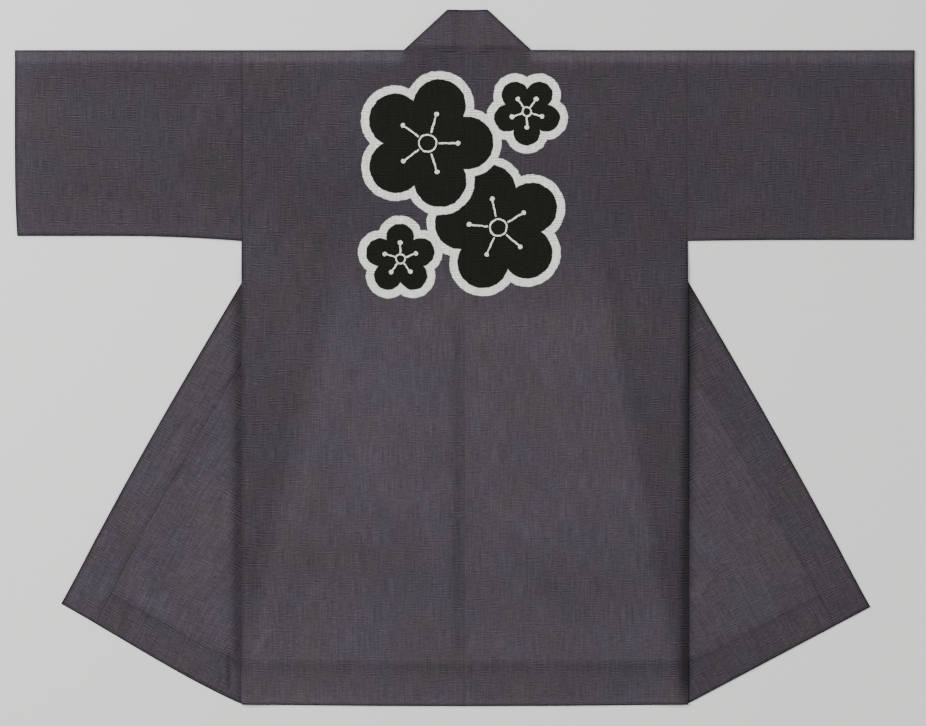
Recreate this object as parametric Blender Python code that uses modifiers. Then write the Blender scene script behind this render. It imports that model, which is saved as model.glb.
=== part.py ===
"""Happi coat lying flat with its back upward and both fronts turned out past the side seams.

Metres, +Z up, X along the sleeves, Y from hem to collar, origin at the middle of the underside.
Each piece is one rectangle of narrow cotton cloth, as the real coat is cut. It is scored where it
bends, turned under with a small roll, laid over what lies beneath it, and given its thickness.
"""
import math
from collections import namedtuple

import bmesh
import bpy
import numpy as np
from mathutils import Matrix, Vector

# Cloth
CLOTH = 0.0012          # wall of the single cotton
HEM_CLOTH = 0.0021      # wall where the hem is turned up
BAND = 0.0026           # wall of the collar, folded round its lining
SEAM = 0.0003           # gap at seams, and between layers that touch
STEP_RUN = 0.002        # run of the step from a hem to the single cloth
GRID = 0.055            # spacing of the points in a flat cut
SNAP = 0.0002           # points nearer than this to a score line lie on it
ROLL_STEPS = 4

# Sizes of the coat
HALF_BACK = 0.328       # centre back to side seam, one narrow loom width less its seams
LENGTH = 0.962          # shoulder fold to hem at the side seam
HEM_SAG = 0.0025        # how much longer the coat is at the centre back
HALF_SPAN = 0.661       # centre back to cuff
SLEEVE_DEPTH = 0.281    # shoulder fold to underarm, at the armhole
FRONT_WIDTH = 0.246     # side seam to collar seam
BAND_WIDTH = 0.059      # collar seam to free edge
BAND_END = 0.050        # shoulder fold to the hidden end of each front band
BACK_HEM = 0.068        # depth of the turned-up hem on the back
FRONT_HEM = 0.052       # depth of the turned-up hem on the fronts
NECK_WIDTH = 0.0937     # middle of the neck to neck point
NECK_SHIFT = 0.004      # how far the neck lies to the right of the centre back
COLLAR_RISE = 0.059     # collar above the shoulder fold at the back neck
COLLAR_TOP = 0.030      # half of the collar's upper edge there
FOLD_INSET = 0.0018     # side seam to the slanted fold, at the hem

Side = namedtuple("Side", "name sign turn_out cuff_depth cuff_cut")
SIDES = (
    Side("left", -1.0, math.radians(29.3), 0.2715, 0.005),
    Side("right", 1.0, math.radians(29.0), 0.2755, 0.000),
)

# How the layers ease over what lies beneath them
CLEAR = 0.002           # how far past an edge a layer keeps its full height
BAND_DRAPE = 0.030      # run down from the collar band to the surface
SEAM_DRAPE = 0.020      # run down from the collar band to the turned front
FOLD_CLEAR = 0.006      # how far past the slanted fold the back stays at its full height
FOLD_DRAPE = 0.055      # run of the back from the slanted fold down to the surface
NECK_DRAPE = 0.016      # run of the collar from its turned end down to the surface
SLEEVE_DRAPE = 0.19     # length over which a sleeve narrows from armhole to cuff
SLEEVE_PUFF = 0.0024    # air left in the middle of a sleeve

Ease = namedtuple("Ease", "run rise")
EASE = (Ease(0.0, 0.0), Ease(0.25, 0.14), Ease(0.5, 0.5), Ease(0.75, 0.86), Ease(1.0, 1.0))

Puff = namedtuple("Puff", "along height")
PUFF = (Puff(0.0, 0.0), Puff(0.2, 0.55), Puff(0.5, 1.0), Puff(0.8, 0.8), Puff(1.0, 0.45))

# Values that follow from the sizes
SHOULDER_Y = (LENGTH + HEM_SAG - COLLAR_RISE) / 2
FREE_EDGE = FRONT_WIDTH + SEAM + BAND_WIDTH
CLOTH_ROLL = (CLOTH + SEAM) / 2
BAND_ROLL = (BAND + SEAM) / 2
SHOULDER_ROLL = CLOTH_ROLL + CLOTH / 2
BAND_STEPS = tuple((row.run - 1) * BAND_DRAPE - CLEAR for row in EASE)
SEAM_STEPS = tuple(BAND_WIDTH + CLEAR + row.run * SEAM_DRAPE for row in EASE)
FOLD_STEPS = tuple(FOLD_CLEAR + row.run * FOLD_DRAPE for row in EASE)
NECK_FLAT = COLLAR_TOP - 2 * BAND
NECK_STEPS = tuple(NECK_FLAT + (row.run - 1) * NECK_DRAPE for row in EASE)


def linear(hex_colour):
    """A linear colour from an sRGB hex value."""
    channels = [int(hex_colour[i:i + 2], 16) / 255 for i in (0, 2, 4)]
    shades = [c / 12.92 if c <= 0.04045 else ((c + 0.055) / 1.055) ** 2.4 for c in channels]
    return (*shades, 1.0)


def cotton(name, hex_colour):
    """Plain woven cotton, matt all over."""
    made = bpy.data.materials.new(name)
    made.use_nodes = True
    shader = made.node_tree.nodes["Principled BSDF"]
    shader.inputs["Base Color"].default_value = linear(hex_colour)
    shader.inputs["Roughness"].default_value = 0.9
    shader.inputs["Metallic"].default_value = 0.0
    made.diffuse_color = linear(hex_colour)
    return made


def rectangle(near, far, bottom, top):
    """A flat cut of cloth. A point's height is 1 on the upper layer and 0 once turned under."""
    cut = bmesh.new()
    place = Matrix.LocRotScale(Vector(((near + far) / 2, (bottom + top) / 2, 1.0)), None,
                               Vector((far - near, top - bottom, 1.0)))
    bmesh.ops.create_grid(cut, x_segments=max(1, round((far - near) / GRID)),
                          y_segments=max(1, round((top - bottom) / GRID)),
                          size=0.5, matrix=place)
    return cut


def score(cut, point, normal, distance=0.0, trim=False):
    """Part the faces along an upright plane, and cut off what lies past it if asked."""
    through = Vector((point[0] + normal[0] * distance, point[1] + normal[1] * distance, 0.0))
    bmesh.ops.bisect_plane(cut, geom=cut.verts[:] + cut.edges[:] + cut.faces[:], dist=SNAP,
                           plane_co=through, plane_no=Vector((normal[0], normal[1], 0.0)),
                           clear_outer=trim)


def turn_under(cut, point, normal, radius):
    """Turn the cloth past a line back beneath itself, round a roll of the given radius."""
    around = math.pi * radius
    for step in range(ROLL_STEPS + 1):
        score(cut, point, normal, around * step / ROLL_STEPS)
    for corner in cut.verts:
        past = (corner.co.x - point[0]) * normal[0] + (corner.co.y - point[1]) * normal[1]
        if past <= SNAP or corner.co.z < 1.0:
            continue
        turn = math.pi * min(past / around, 1.0)
        reach = radius * math.sin(turn) - max(past - around, 0.0)
        corner.co.x += normal[0] * (reach - past)
        corner.co.y += normal[1] * (reach - past)
        corner.co.z = (1.0 + math.cos(turn)) / 2


def finish(name, cut, sign, wall, lay):
    """Lay each point of a cut where it belongs, then give the cloth its thickness."""
    bmesh.ops.triangulate(cut, faces=cut.faces[:])
    share = cut.verts.layers.deform.verify()
    for corner in cut.verts:
        x, y, middle, thickness = lay(corner.co.x, corner.co.y, corner.co.z)
        corner.co = Vector((sign * x, y + SHOULDER_Y, middle))
        corner[share][0] = thickness / wall
    bmesh.ops.remove_doubles(cut, verts=cut.verts[:], dist=SEAM / 10)
    mesh = bpy.data.meshes.new(name)
    cut.to_mesh(mesh)
    cut.free()
    piece = bpy.data.objects.new(name, mesh)
    coat.objects.link(piece)
    piece.vertex_groups.new(name="layers")
    solid = piece.modifiers.new("cloth", "SOLIDIFY")
    solid.thickness = wall
    solid.offset = 0.0
    solid.vertex_group = "layers"
    return piece


def fold_line(side):
    """A point on a front's slanted fold, and its normal toward the centre and the hem."""
    lean = side.turn_out / 2
    return (HALF_BACK - FOLD_INSET, -LENGTH), (-math.cos(lean), -math.sin(lean))


def past_fold(side, x, y):
    """How far a place lies past a front's slanted fold."""
    point, normal = fold_line(side)
    return (x - point[0]) * normal[0] + (y - point[1]) * normal[1]


def turned(side, x, y):
    """Where a place of a front's flat cut lies once it is turned out, and the other way."""
    normal = fold_line(side)[1]
    shift = 2 * past_fold(side, x, y) - math.pi * CLOTH_ROLL
    return x - normal[0] * shift, y - normal[1] * shift


def free_edge_line(side):
    """A point on the collar's free edge where the front is turned out, and its inward normal."""
    point = turned(side, HALF_BACK - FREE_EDGE, -LENGTH)
    return point, (-math.cos(side.turn_out), -math.sin(side.turn_out))


def inside_free_edge(side, x, y):
    """How far a place lies inside the collar's free edge."""
    point, normal = free_edge_line(side)
    return (x - point[0]) * normal[0] + (y - point[1]) * normal[1]


def under_front(side, x, y):
    """Height of a front's upper layer, over its own turned part and the collar band."""
    over_band = BAND + SEAM
    heights = [row.rise * over_band for row in EASE]
    heights += [over_band - row.rise * (BAND - CLOTH) for row in EASE]
    return np.interp(inside_free_edge(side, x, y), BAND_STEPS + SEAM_STEPS, heights)


def under_back(side, x, y):
    """Height of the back, over the front as far as its slanted fold, then down to the surface."""
    held_up = np.interp(past_fold(side, x, y), FOLD_STEPS, [1.0 - row.rise for row in EASE])
    return (under_front(side, x, y) + CLOTH + SEAM) * held_up


def score_layers(cut, side):
    """Score a layer where it eases over the collar band beneath it."""
    point, normal = free_edge_line(side)
    for distance in BAND_STEPS + SEAM_STEPS:
        score(cut, point, normal, distance)


def make_back(side):
    """Half of the back, with the shoulder fold rolled over at its upper edge."""
    neck = NECK_WIDTH + side.sign * NECK_SHIFT + SHOULDER_ROLL + SEAM
    around = math.pi * CLOTH_ROLL
    cut = rectangle(SEAM / 2, HALF_BACK, -LENGTH, around - SHOULDER_ROLL)
    score(cut, (neck, 0.0), (1.0, 0.0))
    score(cut, (0.0, -SHOULDER_ROLL), (0.0, 1.0))
    opening = [face for face in cut.faces if face.calc_center_median().x < neck
               and face.calc_center_median().y > -SHOULDER_ROLL]
    bmesh.ops.delete(cut, geom=opening, context="FACES")
    hem_line = BACK_HEM - LENGTH
    for rise in (0.0, STEP_RUN):
        score(cut, (0.0, hem_line + rise), (0.0, 1.0))
    score_layers(cut, side)
    for distance in FOLD_STEPS:
        score(cut, *fold_line(side), distance)
    turn_under(cut, (0.0, -SHOULDER_ROLL), (0.0, 1.0), CLOTH_ROLL)

    def lay(x, y, layer):
        sag = HEM_SAG * (1 - (x / HALF_BACK) ** 2)
        thickness = np.interp(y, (hem_line, hem_line + STEP_RUN), (HEM_CLOTH, CLOTH))
        upper = under_back(side, x, y) + thickness / 2
        lower = under_front(side, x, y) + CLOTH / 2
        return x, y * (1 + sag / LENGTH), layer * upper + (1 - layer) * lower, thickness

    return finish(f"back_{side.name}", cut, side.sign, HEM_CLOTH, lay)


def make_front(side):
    """A front, folded along its slant so that its inner part passes beneath and shows outside."""
    cut = rectangle(HALF_BACK - FRONT_WIDTH, HALF_BACK, -LENGTH, -SHOULDER_ROLL - SEAM)
    hem_line = FRONT_HEM - LENGTH
    for rise in (0.0, STEP_RUN):
        score(cut, (0.0, hem_line + rise), (0.0, 1.0))
    turn_under(cut, *fold_line(side), CLOTH_ROLL)
    score_layers(cut, side)
    hem_starts = (HALF_BACK + STEP_RUN, HALF_BACK + 6 * STEP_RUN)
    for x in hem_starts:
        score(cut, (x, 0.0), (1.0, 0.0))

    def lay(x, y, layer):
        in_hem = np.interp(turned(side, x, y)[1], (hem_line, hem_line + STEP_RUN), (1.0, 0.0))
        shown = np.interp(x, hem_starts, (0.0, 1.0))
        thickness = CLOTH + (HEM_CLOTH - CLOTH) * in_hem * shown
        upper = under_front(side, x, y) + CLOTH / 2
        return x, y, layer * upper + (1 - layer) * thickness / 2, thickness

    return finish(f"front_{side.name}", cut, side.sign, HEM_CLOTH, lay)


def make_sleeve(side):
    """A sleeve: one rectangle, folded at the shoulder and closed beneath, open at both ends."""
    around = math.pi * CLOTH_ROLL
    underarm = SHOULDER_ROLL - SLEEVE_DEPTH
    flat = SLEEVE_DEPTH - 2 * SHOULDER_ROLL
    cut = rectangle(HALF_BACK + SEAM, HALF_SPAN, underarm - around,
                    around - SHOULDER_ROLL + flat)
    turn_under(cut, (0.0, -SHOULDER_ROLL), (0.0, 1.0), CLOTH_ROLL)
    turn_under(cut, (0.0, underarm), (0.0, -1.0), CLOTH_ROLL)

    def lay(x, y, layer):
        along = (x - HALF_BACK) / (HALF_SPAN - HALF_BACK)
        down = -y / SLEEVE_DEPTH
        widening = max(0.0, 1 - (x - HALF_BACK) / SLEEVE_DRAPE) ** 2
        depth = side.cuff_depth + (SLEEVE_DEPTH - side.cuff_depth) * widening
        air = SLEEVE_PUFF * np.interp(along, [row.along for row in PUFF],
                                      [row.height for row in PUFF])
        upper = CLOTH + SEAM + air * math.sin(math.pi * min(max(down, 0.0), 1.0))
        return x - side.cuff_cut * along * down ** 4, -down * depth, layer * upper + CLOTH / 2, CLOTH

    return finish(f"sleeve_{side.name}", cut, side.sign, CLOTH, lay)


def make_front_band(side):
    """The collar band down a front edge, which turns out with the front."""
    cut = rectangle(HALF_BACK - FREE_EDGE, HALF_BACK - FRONT_WIDTH - SEAM, -LENGTH, -BAND_END)

    def lay(x, y, layer):
        return *turned(side, x, y), layer * BAND / 2, BAND

    return finish(f"collar_{side.name}", cut, side.sign, BAND, lay)


def make_neck_band():
    """The collar band across the back neck, turned under along a slant at each neck point."""
    seam_line = SEAM - SHOULDER_ROLL
    spare = COLLAR_RISE + NECK_WIDTH - COLLAR_TOP
    cut = rectangle(-NECK_WIDTH - spare, NECK_WIDTH + spare, seam_line, COLLAR_RISE)
    for step in NECK_STEPS:
        score(cut, (step, 0.0), (1.0, 0.0))
        score(cut, (-step, 0.0), (1.0, 0.0))
    slant = math.atan2(NECK_WIDTH - COLLAR_TOP, COLLAR_RISE)
    for sign in (-1.0, 1.0):
        normal = (sign * math.cos(slant), math.sin(slant))
        inset = BAND_ROLL + BAND / 2
        point = (sign * NECK_WIDTH - normal[0] * inset, -normal[1] * inset)
        turn_under(cut, point, normal, BAND_ROLL)
    score(cut, (0.0, seam_line), (0.0, -1.0), trim=True)

    def lay(x, y, layer):
        over_turn = np.interp(abs(x), NECK_STEPS, [row.rise for row in EASE])
        if layer < 1.0:
            y = min(max(y, seam_line + BAND / 2), COLLAR_RISE - BAND / 2)
        return x + NECK_SHIFT, y, BAND / 2 + layer * over_turn * (BAND + SEAM), BAND

    return finish("collar_neck", cut, 1.0, BAND, lay)


for old in list(bpy.data.objects):
    bpy.data.objects.remove(old, do_unlink=True)
coat = bpy.data.collections.new("happi_coat")
bpy.context.scene.collection.children.link(coat)

for each in SIDES:
    make_back(each).data.materials.append(cotton(f"back_cotton_{each.name}", "4f4a50"))
    make_front(each).data.materials.append(cotton(f"front_cotton_{each.name}", "514c52"))
    make_sleeve(each).data.materials.append(cotton(f"sleeve_cotton_{each.name}", "49454b"))
    make_front_band(each).data.materials.append(cotton(f"collar_cotton_{each.name}", "4e4750"))
make_neck_band().data.materials.append(cotton("collar_cotton_neck", "4e4750"))
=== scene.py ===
import math
from collections import namedtuple

import bmesh
import bpy
import numpy as np
from mathutils import Matrix, Vector


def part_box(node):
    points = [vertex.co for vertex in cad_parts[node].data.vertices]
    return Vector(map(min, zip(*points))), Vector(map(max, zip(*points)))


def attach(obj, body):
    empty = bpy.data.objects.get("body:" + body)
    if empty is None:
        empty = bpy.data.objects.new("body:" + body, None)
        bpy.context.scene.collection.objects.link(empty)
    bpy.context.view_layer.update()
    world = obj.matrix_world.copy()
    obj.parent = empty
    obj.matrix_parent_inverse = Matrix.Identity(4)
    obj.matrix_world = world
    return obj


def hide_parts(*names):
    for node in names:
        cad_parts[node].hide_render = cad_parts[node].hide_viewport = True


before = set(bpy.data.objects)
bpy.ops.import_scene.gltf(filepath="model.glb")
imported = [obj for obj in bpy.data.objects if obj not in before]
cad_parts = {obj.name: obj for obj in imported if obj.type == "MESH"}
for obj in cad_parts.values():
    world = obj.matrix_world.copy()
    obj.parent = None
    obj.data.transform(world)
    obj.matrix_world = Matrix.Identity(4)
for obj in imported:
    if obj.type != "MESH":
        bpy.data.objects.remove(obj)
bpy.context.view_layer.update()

# The fronts
# Each front is one narrow width of slub cotton, hemmed below and folded along a slant, so that
# its inner part passes beneath the coat and shows outside the side seam, right side up.
HALF_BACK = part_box("back_right")[1][0]
SHOULDER_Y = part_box("back_right")[1][1]
LENGTH = 0.962           # shoulder fold to hem at the side seam
FRONT_WIDTH = 0.246
FRONT_HEM = 0.052
FRONT_HEM_TOP = FRONT_HEM - LENGTH
FRONT_BOLT = 1.3         # where it was cut from the bolt, so that no two pieces have the same threads
BAND_WIDTH = 0.059       # the collar that is sewn to each front
SEAM = 0.0003            # gap at seams and between layers
SOLID_CLOTH = 0.0012     # wall of the solids, whose layers these ones follow
SOLID_BAND = 0.0026
CLOTH = 0.0008           # wall of the cotton that shows
HEM_CLOTH = 0.0017       # the same with the hem turned up beneath it
TUCK = 0.0008            # how far one edge lies beneath the other at a seam
POINT_GAP = 0.0030       # spacing of the points in a cut of cloth
ROLL = 0.00075           # half the height of a fold, at mid cloth
ROLL_STEPS = 6
SNAP = 0.0001
SHOULDER_ROLL = ROLL + SOLID_CLOTH / 2

# How each front is turned out: its angle, how far inside the side seam its slanted fold starts at
# the hem, how far its outer corner is drawn out and down, and how far the edges that meet at that
# corner are bowed.
Side = namedtuple("Side", "name sign turn_out slant_inset corner_out corner_down edge_bow hem_bow")
SIDES = (
    Side("left", -1.0, turn_out=math.radians(29.3), slant_inset=-0.0002,
         corner_out=0.001, corner_down=0.001, edge_bow=0.005, hem_bow=0.0045),
    Side("right", 1.0, turn_out=math.radians(29.0), slant_inset=0.0007,
         corner_out=0.005, corner_down=0.004, edge_bow=0.004, hem_bow=0.0),
)
CORNER_REACH = 0.27      # side seam to that corner
EDGE_BOW_RUN = 0.1       # height above the hem over which the outer edge's bow sets in
HEM_BOW_RUN = 0.2        # and over which the hem's bow dies away
HEM_BOW_PEAK = 27 / 4    # brings the hem's bow to its full depth, a third of the way out

# A layer keeps its full height a little past an edge beneath it, and then comes down softly.
EASE = ((0.0, 0.0), (0.25, 0.14), (0.5, 0.5), (0.75, 0.86), (1.0, 1.0))
CLEAR = 0.002
BAND_DRAPE = 0.030       # over the collar's free edge
SEAM_DRAPE = 0.020       # over the collar's seam

# The cloth's own unevenness is a few long waves that cross at odd angles. Each has a bearing in
# radians, a length and a start, and all of them bend to and fro.
Wave = namedtuple("Wave", "bearing length start")
WAVES = (Wave(0.3, 0.31, 0.0), Wave(1.9, 0.23, 1.3), Wave(2.7, 0.137, 4.1), Wave(0.9, 0.091, 2.2),
         Wave(1.4, 0.067, 5.0))
WAVE_BEND = 1.5          # radians
WAVE_TURNS = 9.0         # radians of the bend for each metre
SLACK = 0.0007           # height of the waves where they meet

# A crease runs between two places, across from the centre back and down from the shoulder. Its
# height is negative for a trough, and it fades toward both ends. A trough lowers the cloth no
# further than where it lies, but its whole depth is painted as shade.
Crease = namedtuple("Crease", "across1 down1 across2 down2 width height")
FRONT_CREASES = {
    "left": (
        Crease(-0.3405, 0.886, -0.3400, 0.950, 0.0042, 0.0016),
        Crease(-0.3475, 0.876, -0.3480, 0.944, 0.0042, -0.0060),
        Crease(-0.3545, 0.892, -0.3530, 0.942, 0.0045, 0.0014),
        Crease(-0.3600, 0.902, -0.3580, 0.938, 0.0040, -0.0032),
        Crease(-0.440, 0.735, -0.452, 0.815, 0.0070, -0.0010),
        Crease(-0.380, 0.600, -0.372, 0.780, 0.0110, 0.0010),
        Crease(-0.500, 0.780, -0.420, 0.842, 0.0080, 0.0008),
        Crease(-0.345, 0.640, -0.350, 0.760, 0.0070, 0.0009),
    ),
    "right": (
        Crease(0.334, 0.812, 0.366, 0.768, 0.0055, 0.0019),
        Crease(0.340, 0.776, 0.352, 0.826, 0.0050, 0.0012),
        Crease(0.342, 0.660, 0.348, 0.760, 0.0070, 0.0009),
        Crease(0.440, 0.760, 0.450, 0.830, 0.0090, 0.0009),
        Crease(0.400, 0.840, 0.520, 0.775, 0.0070, -0.0008),
        Crease(0.352, 0.905, 0.346, 0.948, 0.0045, -0.0010),
    ),
}
CREASE_SHADING = 70.0       # painted light and shade: a ridge is painted paler and a trough darker, for each metre of height
HEM_HOLD = 0.02          # height above the hem's edge over which it holds the cloth flat
HEM_LOOSE = 0.2          # share of a crease that is left at the hem's edge
HEM_STEP = 0.001         # half the run over which the cloth thickens at the top of a hem
SHOWS = (0.001, 0.006)   # outside the side seam, over which a front comes out from beneath the back
SINK = 0.0006            # how far a front is pressed down beneath the side seam
SINK_RUN = 0.010

# How dark the cloth's colour is painted. Cloth that lies single over the pale floor lets some light
# through, and that light is painted into its colour, so single cloth is painted paler than hemmed
# cloth. A soft line lies at a distance from the edge or seam that it follows, and darkens the cloth.
SINGLE = 1.36
HEMMED = 1.19
Line = namedtuple("Line", "at width strength")
RIM = Line(0.0, 0.0027, 0.74)             # painted shade along a pressed edge, where the cloth rolls away from the light
HEM_LINE = Line(0.0, 0.006, 0.14)         # painted shade at the top of the hem
BAND_LINE = Line(0.0, 0.003, 0.22)        # painted shade where the collar is sewn on
SEAM_SHADE_WAVE = (0.016, 0.041)                    # pitch and drift of the stretches where the painted seam shade is stronger

# The side seam casts a wider painted shadow. It starts below the underarm, lies this far outside the
# seam at an upper and a lower place, and has all but faded at its end, down from the shoulder.
SideSeam = namedtuple("SideSeam", "strength width upper lower end")
SIDE_SEAMS = {
    "left": SideSeam(strength=0.44, width=0.0082, upper=0.0038, lower=0.0060, end=0.915),
    "right": SideSeam(strength=0.56, width=0.0085, upper=0.0018, lower=-0.0042, end=0.955),
}
SEAM_START = (0.325, 0.355)
SEAM_PLACES = (0.38, 0.81)
SEAM_FADE = 0.03
SEAM_LEFT = 0.15


def cut_cloth(near, far, bottom, top, bolt):
    """A flat rectangle of cloth that remembers each point's place in the cut, and which part of
    the bolt it comes from. A point's height is 1 on the upper layer and 0 once turned under."""
    cloth = bmesh.new()
    place = Matrix.LocRotScale(Vector(((near + far) / 2, (bottom + top) / 2, 1.0)), None,
                               Vector((far - near, top - bottom, 1.0)))
    bmesh.ops.create_grid(cloth, x_segments=max(2, round((far - near) / POINT_GAP)),
                          y_segments=max(2, round((top - bottom) / POINT_GAP)),
                          size=0.5, matrix=place)
    in_cut = cloth.verts.layers.float_vector.new("cut")
    for point in cloth.verts:
        point[in_cut] = (point.co.x, point.co.y, bolt)
    return cloth


def score(cloth, place, normal, distance=0.0, trim=False):
    """Part the cloth along an upright plane, and cut off what lies past it if asked."""
    through = Vector((place[0] + normal[0] * distance, place[1] + normal[1] * distance, 0.0))
    bmesh.ops.bisect_plane(cloth, geom=cloth.verts[:] + cloth.edges[:] + cloth.faces[:],
                           dist=SNAP, plane_co=through,
                           plane_no=Vector((normal[0], normal[1], 0.0)), clear_outer=trim)


def turn_under(cloth, place, normal, roll):
    """Turn the cloth past a line back beneath itself."""
    around = math.pi * roll
    for step in range(ROLL_STEPS + 1):
        score(cloth, place, normal, around * step / ROLL_STEPS)
    for point in cloth.verts:
        past = (point.co.x - place[0]) * normal[0] + (point.co.y - place[1]) * normal[1]
        if past <= SNAP or point.co.z < 1.0:
            continue
        turn = math.pi * min(past / around, 1.0)
        reach = roll * math.sin(turn) - max(past - around, 0.0)
        point.co.x += normal[0] * (reach - past)
        point.co.y += normal[1] * (reach - past)
        point.co.z = (1.0 + math.cos(turn)) / 2


def slant(side):
    """A place on a front's slanted fold, and its normal toward the centre and the hem."""
    lean = side.turn_out / 2
    return (HALF_BACK - side.slant_inset, -LENGTH), (-math.cos(lean), -math.sin(lean))


def past_slant(side, x, y):
    """How far a place lies past a front's slanted fold."""
    place, normal = slant(side)
    return (x - place[0]) * normal[0] + (y - place[1]) * normal[1]


def turned(side, x, y):
    """Where a place of a front's flat cut lies once it is turned out, and the other way."""
    normal = slant(side)[1]
    shift = 2 * past_slant(side, x, y) - math.pi * ROLL
    return x - normal[0] * shift, y - normal[1] * shift


def drawn_out(side, x, y):
    """The turned-out part as it lies, with its corner drawn out and down and its edges bowed."""
    share = np.clip((x - HALF_BACK) / CORNER_REACH, 0.0, 1.0)
    above_hem = turned(side, x, y)[1] + LENGTH
    out = side.edge_bow * np.sin(math.pi * share) * np.clip(above_hem / EDGE_BOW_RUN, 0.0, 1.0)
    down = side.hem_bow * HEM_BOW_PEAK * share * (1 - share) ** 2
    down = down * np.clip(1 - above_hem / HEM_BOW_RUN, 0.0, 1.0)
    return x + side.corner_out * share + out, y - side.corner_down * share - down


def inside_free_edge(side, x, y):
    """How far a place lies inside the free edge of the collar on a turned-out front."""
    free_edge = FRONT_WIDTH + SEAM + BAND_WIDTH
    edge_x, edge_y = turned(side, HALF_BACK - free_edge, -LENGTH)
    return (edge_x - x) * math.cos(side.turn_out) + (edge_y - y) * math.sin(side.turn_out)


def follow(pairs, value):
    """What a row of pairs gives for a value, straight from each pair to the next."""
    return np.interp(value, *zip(*pairs))


def eased(value, start, run):
    """0 up to the start, 1 past the run that follows it, and an easy slope between them."""
    return follow(EASE, (value - start) / run)


def under_front(side, x, y):
    """Height of a front's upper layer, over its own turned part and the collar band."""
    inside = inside_free_edge(side, x, y)
    over_band = (SOLID_BAND + SEAM) * eased(inside, -BAND_DRAPE - CLEAR, BAND_DRAPE)
    return over_band - (SOLID_BAND - SOLID_CLOTH) * eased(inside, BAND_WIDTH + CLEAR, SEAM_DRAPE)


def bell(distance, width):
    """1 at no distance, falling away softly over a width."""
    return np.exp(-(distance / width) ** 2)


def soft(line, distance):
    """How strong a soft line is at a distance from the edge or seam that it follows."""
    return line.strength * bell(distance - line.at, line.width)


def ramp(value, start, end):
    """0 up to the start, 1 past the end, and straight between them."""
    return np.interp(value, (start, end), (0.0, 1.0))


def wander(along, pitch, drift):
    """From -1 to 1, a wave along a seam or band, whose length changes as it goes."""
    return np.sin(along / pitch + 2 * np.sin(along / drift))


def uneven(along):
    """From 0.1 to 1, how strong a seam's painted shade is along its length."""
    return np.clip(0.55 + 0.55 * wander(along, *SEAM_SHADE_WAVE), 0.1, 1.0)


def side_seam_shadow(side, x, y):
    """Share of its colour that the cloth keeps beside the side seam, under the seam's painted shadow.
    """
    seam = SIDE_SEAMS[side.name]
    run = np.interp(-y, (*SEAM_START, seam.end - SEAM_FADE, seam.end), (0.0, 1.0, 1.0, SEAM_LEFT))
    at = np.interp(-y, SEAM_PLACES, (seam.upper, seam.lower))
    return 1 - seam.strength * run * bell(x - HALF_BACK - at, seam.width)


def slack(x, y):
    """The cloth's own unevenness, from 0 to 1."""
    total = np.zeros_like(x)
    for wave in WAVES:
        along = x * math.cos(wave.bearing) + y * math.sin(wave.bearing)
        total += np.sin(2 * math.pi * along / wave.length + wave.start
                        + WAVE_BEND * np.sin(WAVE_TURNS * (y - x)))
    return 0.5 + total / (2 * len(WAVES))


def creased(creases, x, y):
    """Height that a piece's creases add, as soft ridges and troughs."""
    height = np.zeros_like(x)
    for row in creases:
        start = np.array((row.across1, SHOULDER_Y - row.down1))
        run = np.array((row.across2, SHOULDER_Y - row.down2)) - start
        along = ((x - start[0]) * run[0] + (y - start[1]) * run[1]) / (run @ run)
        aside = ((x - start[0]) * run[1] - (y - start[1]) * run[0]) / math.hypot(*run)
        fade = np.clip(1 - np.abs(2 * along - 1) ** 3, 0.0, 1.0)
        height += row.height * bell(aside, row.width) * fade
    return height


def mesh_of(name, shape):
    """A mesh of a shape that is finished."""
    mesh = bpy.data.meshes.new(name)
    shape.to_mesh(mesh)
    shape.free()
    return mesh


def put_in_scene(name, data):
    """A new object of the scene."""
    placed = bpy.data.objects.new(name, data)
    bpy.context.scene.collection.objects.link(placed)
    return placed


def lay_out(name, cloth, sign, wall, lay, creases=()):
    """Lay a cut of cloth where it belongs and give it its wall. lay takes each point's place and
    layer, and gives its place, the cloth's thickness, how dark its colour is painted, with painted
    light and shade, and how loose it is."""
    bmesh.ops.remove_doubles(cloth, verts=cloth.verts[:], dist=SNAP / 2)
    mesh = mesh_of(f"{name}_cloth", cloth)
    count = len(mesh.vertices)
    flat = np.empty(count * 3, dtype=np.float32)
    mesh.vertices.foreach_get("co", flat)
    parts = lay(*flat.reshape(-1, 3).astype(float).T)
    x, y, middle, thickness, shade, loose = (np.broadcast_to(part, (count,)) for part in parts)
    x, y = sign * x, y + SHOULDER_Y
    raised = creased(creases, x, y) * loose
    lift = np.maximum(SLACK * slack(x, y) * loose + raised, 0.0)
    # Painted light on the creases' ridges and painted shade in their troughs.
    shade = shade * (1 + CREASE_SHADING * raised)
    places = np.stack((x, y, middle + lift), axis=1).astype(np.float32)
    mesh.vertices.foreach_set("co", places.ravel())
    # The cloth's painted light and shade go into its colour through this attribute.
    dye = mesh.attributes.new("shade", "FLOAT", "POINT")
    dye.data.foreach_set("value", shade.astype(np.float32))
    if sign < 0:
        mesh.flip_normals()
    mesh.shade_smooth()
    piece = put_in_scene(f"{name}_cloth", mesh)
    layers = piece.vertex_groups.new(name="layers")
    share = np.round(thickness / wall, 2)
    for value in np.unique(share):
        layers.add(np.flatnonzero(share == value).tolist(), float(value), "REPLACE")
    shell = piece.modifiers.new("wall", "SOLIDIFY")
    shell.thickness = wall
    shell.offset = 0.0
    shell.vertex_group = layers.name
    shading = piece.modifiers.new("flat faces shade flat", "WEIGHTED_NORMAL")
    shading.weight = 100
    return piece


def linear(hex_colour):
    """A linear colour from an sRGB hex value."""
    channels = [int(hex_colour[i:i + 2], 16) / 255 for i in (0, 2, 4)]
    return (*(c / 12.92 if c <= 0.04045 else ((c + 0.055) / 1.055) ** 2.4 for c in channels), 1.0)


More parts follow.
